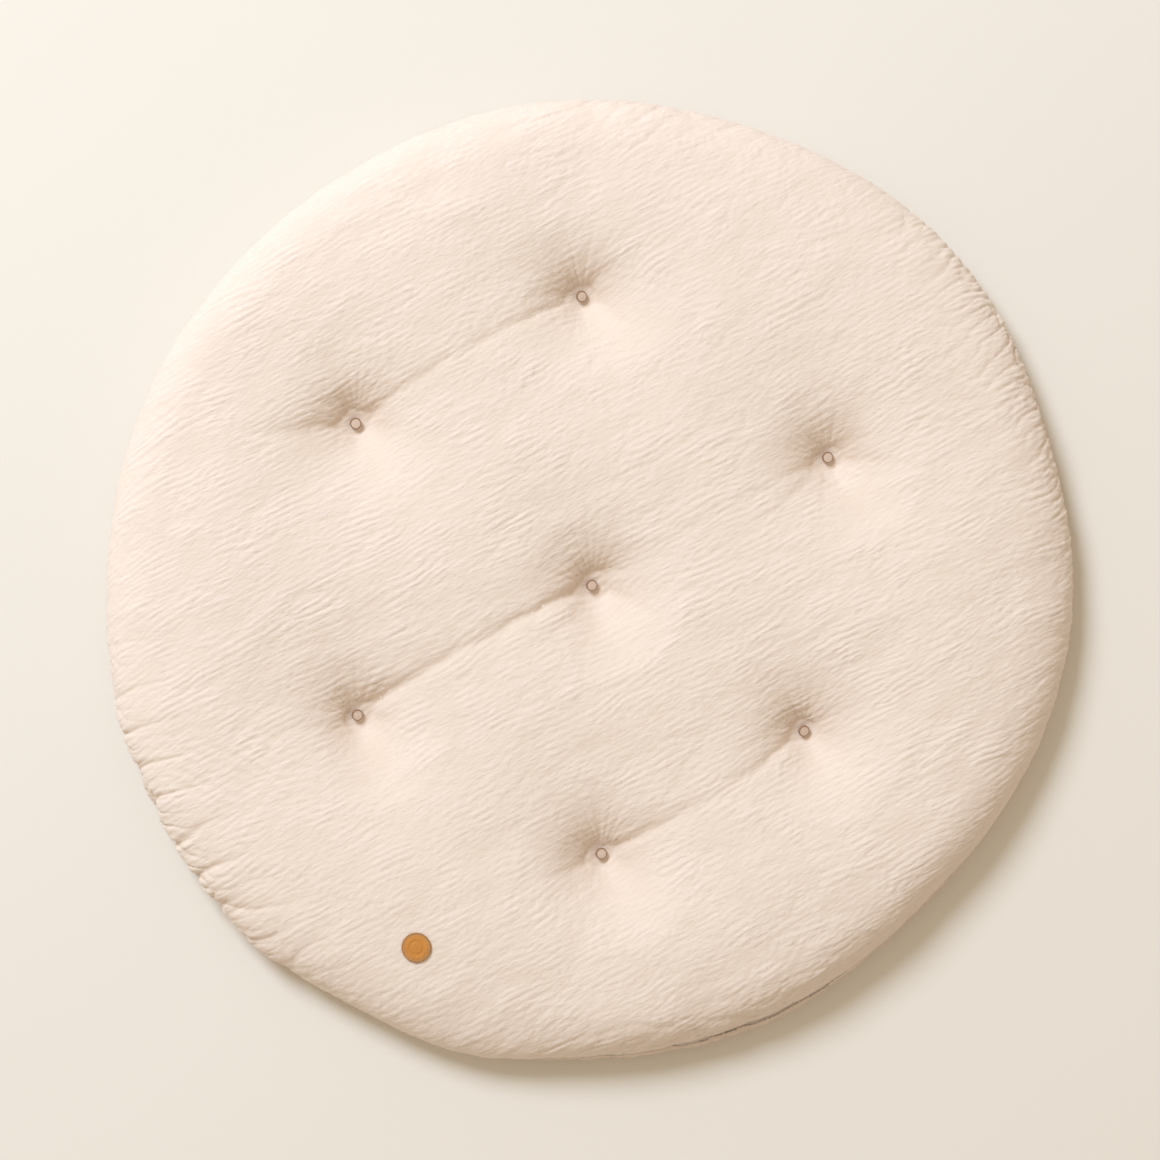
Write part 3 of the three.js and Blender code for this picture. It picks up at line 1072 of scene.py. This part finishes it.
class Finish:
    """One material, with its shader and the nodes that feed it."""

    def __init__(self, name, roughness, sheen=0, gloss=0.5):
        self.material = bpy.data.materials.new(name)
        self.material.use_nodes = True
        self.tree = self.material.node_tree
        self.tree.nodes.clear()
        self.shader = self.tree.nodes.new("ShaderNodeBsdfPrincipled")
        self.shader.inputs["Roughness"].default_value = roughness
        self.shader.inputs["Sheen Weight"].default_value = sheen
        self.shader.inputs["Sheen Roughness"].default_value = 0.6
        self.shader.inputs["Specular IOR Level"].default_value = gloss
        surface = self.tree.nodes.new("ShaderNodeOutputMaterial")
        self.tree.links.new(self.shader.outputs["BSDF"], surface.inputs["Surface"])

    def node(self, kind, choices, sockets, output=0):
        """A node of a kind, with its choices set first and then its sockets, and one of its outputs."""
        node = self.tree.nodes.new(kind)
        for name, value in choices.items():
            if name == "stops":
                for stop, (place, shade) in zip(node.color_ramp.elements, value):
                    stop.position = place
                    stop.color = (shade, shade, shade, 1)
            else:
                setattr(node, name, value)
        for name, value in sockets.items():
            joined(self.tree, node.inputs[name], value)
        return Wire(self.tree, node.outputs[output])

    def noise(self, places, scale, detail=2):
        return self.node("ShaderNodeTexNoise", {}, {"Vector": places, "Scale": scale, "Detail": detail})

    def sine(self, wire):
        return self.node("ShaderNodeMath", {"operation": "SINE"}, {0: wire})

    def sharpened(self, wire, low, high):
        """0 below low and 1 above high."""
        return self.node("ShaderNodeValToRGB", {"stops": ((low, 0), (high, 1))}, {"Fac": wire})

    def mix(self, share, first, second):
        """A colour between two others."""
        sockets = {0: share, 6: as_colour(first), 7: as_colour(second)}
        return self.node("ShaderNodeMix", {"data_type": "RGBA"}, sockets, output=2)

    def object_places(self):
        return self.node("ShaderNodeTexCoord", {}, {}, output="Object")

    def attribute(self, name):
        return self.node("ShaderNodeAttribute", {"attribute_name": name}, {}, output="Fac")

    def colour(self, wire):
        joined(self.tree, self.shader.inputs["Base Color"], wire)

    def roughness(self, wire):
        joined(self.tree, self.shader.inputs["Roughness"], wire)

    def bump(self, height, depth):
        """A relief of this depth in metres where height is 1."""
        normal = self.node("ShaderNodeBump", {}, {"Height": height, "Distance": depth, "Strength": 1.0})
        joined(self.tree, self.shader.inputs["Normal"], normal)


def as_colour(value):
    return value if isinstance(value, Wire) else (*value, 1)


def scaled(colour, share):
    return tuple(part * share for part in colour)


def gauze_finish():
    """Undyed double gauze, woven in small squares, with painted shade darkening it deep in its folds."""
    case_settings = settings("pad_case")
    ridge = tuple(case_settings.ridge_colour)
    finish = Finish("crinkled_gauze", roughness=0.93, sheen=0.15, gloss=0.2)
    flat = finish.node("ShaderNodeUVMap", {"uv_map": "cut"}, {})
    turn = (0, 0, -math.radians(GRAIN_BEARING))
    grain = finish.node("ShaderNodeMapping", {}, {"Vector": flat, "Rotation": turn})
    along = finish.node("ShaderNodeSeparateXYZ", {}, {"Vector": grain}, output="X")
    across = finish.node("ShaderNodeSeparateXYZ", {}, {"Vector": grain}, output="Y")
    wander = finish.noise(flat, 60) * 9.0
    warp = finish.sine(along * (2 * math.pi / WARP_PITCH) + wander)
    weft = finish.sine(across * (2 * math.pi / WEFT_PITCH) + wander)
    fibres = finish.noise(flat, 1500, 3)
    drawn = finish.node("ShaderNodeMapping", {}, {"Vector": grain, "Scale": (1, 2.6, 1)})
    fine_crinkle = finish.sharpened(finish.noise(drawn, 120, 3), 0.36, 0.6)
    worn = finish.noise(flat, 9)
    patchy = finish.sharpened(finish.noise(flat, 16), 0.42, 0.68)
    painted_fold_shade = finish.attribute("painted_fold_shade")
    cloth = finish.mix(worn, scaled(ridge, 0.985), scaled(ridge, 1.015))
    # Painted shade: the cloth darkened towards the fold shade colour deep in its folds.
    cloth = finish.mix(painted_fold_shade * 0.75, cloth, tuple(case_settings.fold_shade_colour))
    finish.colour(finish.mix(fibres * 0.12, cloth, scaled(ridge, 0.86)))
    weave = (warp * weft) * (0.25 + 0.75 * patchy)
    finish.bump(0.5 + 0.12 * weave + 0.5 * fibres + 0.75 * fine_crinkle, 0.27 * MM)
    return finish.material


def wadding_finish():
    """Carded cotton: white, with the odd seed fleck."""
    colour = tuple(settings("pad_case").wadding_colour)
    finish = Finish("cotton_wadding", roughness=0.97, sheen=0.3, gloss=0.1)
    places = finish.object_places()
    stretched = finish.node("ShaderNodeMapping", {}, {"Vector": places, "Scale": (1.0, 5.0, 2.0)})
    fibres = finish.noise(stretched, 240, 6)
    flecks = finish.sharpened(finish.noise(places, 420, 1), 0.72, 0.76)
    cloth = finish.mix(fibres, scaled(colour, 0.86), colour)
    finish.colour(finish.mix(flecks * 0.5, cloth, scaled(colour, 0.45)))
    finish.bump(fibres, 1.2 * MM)
    return finish.material


def thread_finish(name, share):
    """Twisted cotton thread, a share as bright as the sewing thread."""
    colour = scaled(tuple(settings("pad_notions").thread_colour), share)
    finish = Finish(name, roughness=0.8, sheen=0.2, gloss=0.3)
    places = finish.object_places()
    plies = finish.noise(places, 2600, 2)
    slubs = finish.noise(places, 300, 1)
    finish.colour(finish.mix(plies * 0.6, colour, scaled(colour, 0.7)))
    finish.roughness(0.72 + 0.2 * slubs)
    finish.bump(plies, 0.12 * MM)
    return finish.material


def button_finish():
    """A pale face with fine turning marks, and a brown edge that is partly painted shade for the gap round
    the button.
    """
    notions = settings("pad_notions")
    face = tuple(notions.button_colour)
    finish = Finish("pale_button", roughness=0.6, gloss=0.35)
    places = finish.object_places()
    clouds = finish.noise(places, 260, 3)
    pores = finish.noise(places, 1900, 2)
    pale = finish.mix(clouds, scaled(face, 0.9), scaled(face, 1.06))
    pale = finish.mix(pores * 0.25, pale, scaled(face, 0.72))
    # The edge colour is partly the button's own brown edge and partly painted shade for the gap round it.
    finish.colour(finish.mix(finish.attribute("edge"), pale, tuple(notions.button_edge_and_gap_shade_colour)))
    finish.roughness(0.5 + 0.25 * clouds)
    finish.bump(pores, 0.08 * MM)
    return finish.material


def leather_finish():
    """Vegetable-tanned leather: grain, pores, and a darker burnished edge."""
    label = settings("pad_label")
    tan = tuple(label.leather_colour)
    finish = Finish("tan_leather", roughness=0.55, gloss=0.4)
    places = finish.object_places()
    clouds = finish.noise(places, 130, 3)
    grain = finish.node("ShaderNodeTexVoronoi", {}, {"Vector": places, "Scale": 1500})
    pores = finish.sharpened(finish.noise(places, 1500, 2), 0.55, 0.7)
    hide = finish.mix(clouds, scaled(tan, 0.78), scaled(tan, 1.2))
    hide = finish.mix(pores * 0.35, hide, scaled(tan, 0.55))
    finish.colour(finish.mix(finish.attribute("edge"), hide, tuple(label.edge_colour)))
    finish.roughness(0.45 + 0.25 * clouds)
    finish.bump(grain + 0.5 * pores, 0.1 * MM)
    return finish.material


def floor_finish():
    """Smooth painted board."""
    colour = tuple(settings("pad_stage").floor_colour)
    finish = Finish("pale_floor", roughness=0.85, gloss=0.2)
    places = finish.object_places()
    clouds = finish.noise(places, 1.5, 2)
    speckle = finish.noise(places, 180, 2)
    finish.colour(finish.mix(clouds, scaled(colour, 0.99), scaled(colour, 1.01)))
    finish.roughness(0.8 + 0.1 * speckle)
    return finish.material


# ---- the operators, one for each piece or group


class SewCase(bpy.types.Operator):
    """Cuts, fills and creases the two gauze panels"""

    bl_idname = "seat_pad.sew_case"
    bl_label = "Sew and fill the case"

    def execute(self, context):
        gauze = gauze_finish()
        upper, lower, _ = panel_faces()
        for node, made, up in (("top_cover", upper, 1), ("bottom_cover", lower, -1)):
            piece = added(f"gauze_{node}", panel_mesh(node, made, up))
            finish_piece(piece, node, gauze)
        return {"FINISHED"}


class LayWadding(bpy.types.Operator):
    """Lays the three layers of wadding in the case"""

    bl_idname = "seat_pad.lay_wadding"
    bl_label = "Lay the wadding"

    def execute(self, context):
        cotton = wadding_finish()
        layers = (("lower", 0.0, 0.31, 51), ("middle", 0.345, 0.655, 52), ("upper", 0.69, 1.0, 53))
        for layer, low_share, high_share, seed in layers:
            node = f"wadding_{layer}"
            piece = added(f"cotton_{node}", layer_mesh(node, low_share, high_share, seed))
            finish_piece(piece, node, cotton)
        return {"FINISHED"}


# The thread's rise at each step of one stitch, and for the slip stitch how far out of the seam it lies.
SEAM_STITCH = np.array([-1, -1, 0, 1, 1, 0]) * 1.7 * MM
SLIP_RISE = np.array([-1.3, 0.0, 1.3, 0.0])
SLIP_OUTWARD = np.array([0.25, 0.7, 0.25, 0.7])


class StitchSeam(bpy.types.Operator):
    """Runs the machine stitches round the turned-in seam"""

    bl_idname = "seat_pad.stitch_seam"
    bl_label = "Stitch the seam"

    def execute(self, context):
        line = seam_line()
        count = round(round_pad(line)[-1] / settings("pad_notions").stitch_length)
        path = even_points(line, count * len(SEAM_STITCH))
        path = path + inward_way(path) * 4 * MM
        path[:, 2] += np.tile(SEAM_STITCH, count)
        piece = threads("lockstitch_edge_seam", [(path, True)], 0.5 * MM)
        finish_piece(piece, "edge_seam_thread", thread_finish("seam_thread", 1.0))
        return {"FINISHED"}


class CloseSeam(bpy.types.Operator):
    """Closes the last stretch of the seam by hand with slip stitches"""

    bl_idname = "seat_pad.close_seam"
    bl_label = "Close the seam by hand"

    def execute(self, context):
        low, high = corners("closing_stitches")
        line = seam_line()
        count = round(round_pad(line)[-1] / settings("pad_notions").slip_stitch)
        even = even_points(line, count * len(SLIP_RISE))
        margin = 6 * MM
        inside = np.all((even[:, :2] > low[:2] - margin) & (even[:, :2] < high[:2] + margin), axis=1)
        path = even[inside]
        turns = np.arange(len(path)) % len(SLIP_RISE)
        path = path - inward_way(path) * SLIP_OUTWARD[turns][:, None] * MM
        path[:, 2] += SLIP_RISE[turns] * MM
        piece = threads("slip_stitches_closing", [(path, False)], 0.6 * MM)
        finish_piece(piece, "closing_stitches", thread_finish("hand_thread", 0.93))
        return {"FINISHED"}


class SewButtons(bpy.types.Operator):
    """Turns one button and sews a copy of it on both sides of each tuft"""

    bl_idname = "seat_pad.sew_buttons"
    bl_label = "Sew on the buttons"

    def execute(self, context):
        radius = size_of("bottom_button_1", 0) / 2
        shank = 1.0 * MM
        thickness = size_of("bottom_button_1", 2) - shank
        pattern = start_disc("button", radius, thickness, 48)
        choose(pattern, "FACE", is_flat(1))
        bpy.ops.mesh.inset(thickness=0.9 * MM)
        push(-0.45 * MM)
        for width, rise in ((1.2 * MM, 0.16 * MM), (1.5 * MM, 0.1 * MM)):
            bpy.ops.mesh.inset(thickness=width)
            bpy.ops.transform.translate(value=(0, 0, rise))
        choose(pattern, "FACE", is_flat(-1))
        bpy.ops.mesh.inset(thickness=radius - 2 * MM)
        push(-shank)
        finish_shape(pattern, 0.3 * MM)
        # The marked rim takes the brown edge colour, which is partly painted shade for the gap round the
        # button.
        mark_edge(pattern.data, radius - 1.25 * MM, radius - 0.75 * MM)
        finish = button_finish()
        for number in range(TUFT_COUNT):
            lower_seat = Vector((*TUFTS[number], BOTTOM_SEAT - shank - thickness / 2))
            flipped = Matrix.Translation(lower_seat) @ Matrix.Rotation(math.pi, 4, "X")
            for side, place in (("top", button_place(number)), ("bottom", flipped)):
                mesh = pattern.data.copy()
                mesh.transform(place @ Matrix.Translation((0, 0, thickness / 2 if side == "top" else 0)))
                piece = added(f"turned_{side}_button_{number + 1}", mesh)
                finish_piece(piece, f"{side}_button_{number + 1}", finish)
        bpy.data.objects.remove(pattern)
        return {"FINISHED"}


class TieTwine(bpy.types.Operator):
    """Ties the twisted twine between each pair of buttons"""

    bl_idname = "seat_pad.tie_twine"
    bl_label = "Tie the tufting twine"

    def execute(self, context):
        twine = thread_finish("tufting_twine", 0.85)
        low, high = corners("tufting_twine_1")
        radius = (high[0] - low[0]) / 4
        turns = 3.5
        turn = np.linspace(0, turns * 2 * math.pi, 57)
        height = np.linspace(low[2], high[2], len(turn))
        for number, (x, y) in enumerate(TUFTS):
            strands = []
            for start in (0, math.pi):
                way = radius * np.cos(turn + start), radius * np.sin(turn + start)
                strands.append((np.stack([x + way[0], y + way[1], height], 1), False))
            piece = threads(f"twisted_twine_{number + 1}", strands, radius * 1.96)
            finish_piece(piece, f"tufting_twine_{number + 1}", twine)
        return {"FINISHED"}


class SewLabel(bpy.types.Operator):
    """Cuts and presses the round leather label and sews it on"""

    bl_idname = "seat_pad.sew_label"
    bl_label = "Sew on the label"

    def execute(self, context):
        label = settings("pad_label")
        radius = size_of("leather_label", 0) / 2
        thickness = size_of("leather_label", 2)
        stitch_radius = radius - 2.0 * MM
        half_groove, half_ring = 0.35 * MM, 0.5 * MM
        piece = start_disc("leather_disc_label", radius, thickness, 96)
        choose(piece, "FACE", is_flat(1))
        for reach in (stitch_radius + half_groove, stitch_radius - half_groove):
            inset_to(piece, reach)
        press_ring(piece, stitch_radius + half_groove, 0.15 * MM)
        for reach in (label.ring_radius + half_ring, label.ring_radius - half_ring, label.ring_radius / 2):
            inset_to(piece, reach)
        press_ring(piece, label.ring_radius + half_ring, 0.3 * MM)
        finish_shape(piece, 0.12 * MM)
        mark_edge(piece.data, radius - 0.9 * MM, radius - 0.25 * MM)
        _, _, rest = panel_faces()
        rest = rest @ Matrix.Translation((0, 0, thickness / 2))
        piece.data.transform(rest)
        finish_piece(piece, "leather_label", leather_finish())

        sewing = threads("stitches_label", label_stitches(stitch_radius, label.stitch_count), 0.5 * MM)
        sewing.data.transform(rest @ Matrix.Translation((0, 0, thickness / 2)))
        finish_piece(sewing, "label_stitching", thread_finish("label_thread", 0.62))
        return {"FINISHED"}


def inset_to(piece, radius):
    """Insets the big upper face until it has this radius."""
    choose(piece, "FACE", is_flat(1))
    face = next(face for face in bmesh.from_edit_mesh(piece.data).faces if face.select)
    now = max(math.hypot(vertex.co.x, vertex.co.y) for vertex in face.verts)
    bpy.ops.mesh.inset(thickness=now - radius)


def press_ring(piece, radius, depth):
    """Presses the flat ring whose outer radius is given into the leather."""

    def wanted(face):
        across = [math.hypot(vertex.co.x, vertex.co.y) for vertex in face.verts]
        return face.normal.z > 0.9 and len(face.verts) == 4 and abs(max(across) - radius) < 0.05 * MM

    choose(piece, "FACE", wanted)
    push(-depth)


def label_stitches(radius, count):
    """Short arched stitches round a circle, their ends sunk in the leather."""
    stitches = []
    share = np.linspace(-1, 1, 7)
    for number in range(count):
        turn = 2 * math.pi * (number + 0.3 * share) / count
        height = 0.1 * MM - 0.75 * MM * np.abs(share) ** 4
        line = np.stack([radius * np.cos(turn), radius * np.sin(turn), height], 1)
        stitches.append((line, False))
    return stitches


class SetStage(bpy.types.Operator):
    """Lays the floor and sets the lamp, the fill and the camera"""

    bl_idname = "seat_pad.set_stage"
    bl_label = "Set the stage"

    def execute(self, context):
        stage = settings("pad_stage")
        scene = context.scene
        bpy.ops.object.select_all(action="DESELECT")
        bpy.ops.mesh.primitive_plane_add(size=FLOOR_SIZE)
        floor = context.object
        floor.name = "floor"
        floor.data.materials.append(floor_finish())

        lamp = bpy.data.lights.new("soft_lamp", "AREA")
        lamp.shape = "DISK"
        lamp.size = LAMP_SIZE
        lamp.energy = stage.lamp_power
        lamp.color = LAMP_COLOUR
        aim_at(added("soft_lamp", lamp), Vector(LAMP_PLACE), Vector((0, 0, 0)))

        scene.world = bpy.data.worlds.new("studio")
        scene.world.use_nodes = True
        fill = scene.world.node_tree.nodes["Background"]
        fill.inputs["Color"].default_value = as_colour(FILL_COLOUR)
        fill.inputs["Strength"].default_value = stage.fill_strength

        lens = bpy.data.cameras.new("camera")
        lens.lens = LENS_LENGTH
        lens.sensor_width = SENSOR_WIDTH
        scene.camera = added("camera", lens)
        aim = Vector(CAMERA_AIM)
        back = Vector((0, -math.cos(stage.camera_elevation), math.sin(stage.camera_elevation)))
        aim_at(scene.camera, aim + back * stage.camera_distance, aim)
        scene.view_settings.view_transform = "Standard"
        return {"FINISHED"}


def aim_at(thing, place, target):
    """Stands a lamp or camera at a place and turns it to a target."""
    thing.location = place
    thing.rotation_euler = (target - place).to_track_quat("-Z", "Y").to_euler()


STEPS = (SewCase, LayWadding, StitchSeam, CloseSeam, SewButtons, TieTwine, SewLabel, SetStage)


class SeatPadPanel(bpy.types.Panel):
    """Lists the steps and the sizes and colours of the seat pad"""

    bl_idname = "VIEW3D_PT_seat_pad"
    bl_label = "Round Tufted Seat Pad"
    bl_space_type = "VIEW_3D"
    bl_region_type = "UI"
    bl_category = "Seat Pad"

    def draw(self, context):
        for name, kind in SETTINGS.items():
            for field in kind.__annotations__:
                self.layout.prop(getattr(context.scene, name), field)
        for step in STEPS:
            self.layout.operator(step.bl_idname)


SETTINGS = {"pad_case": PadCase, "pad_notions": PadNotions, "pad_label": PadLabel, "pad_stage": PadStage}


def register():
    for kind in (*SETTINGS.values(), *STEPS, SeatPadPanel):
        bpy.utils.register_class(kind)
    for name, kind in SETTINGS.items():
        setattr(bpy.types.Scene, name, PointerProperty(type=kind))


def unregister():
    for name in SETTINGS:
        delattr(bpy.types.Scene, name)
    for kind in (SeatPadPanel, *reversed(STEPS), *SETTINGS.values()):
        bpy.utils.unregister_class(kind)


def main():
    register()
    bpy.ops.seat_pad.sew_case()
    bpy.ops.seat_pad.lay_wadding()
    bpy.ops.seat_pad.stitch_seam()
    bpy.ops.seat_pad.close_seam()
    bpy.ops.seat_pad.sew_buttons()
    bpy.ops.seat_pad.tie_twine()
    bpy.ops.seat_pad.sew_label()
    bpy.ops.seat_pad.set_stage()


if __name__ == "__main__":
    main()
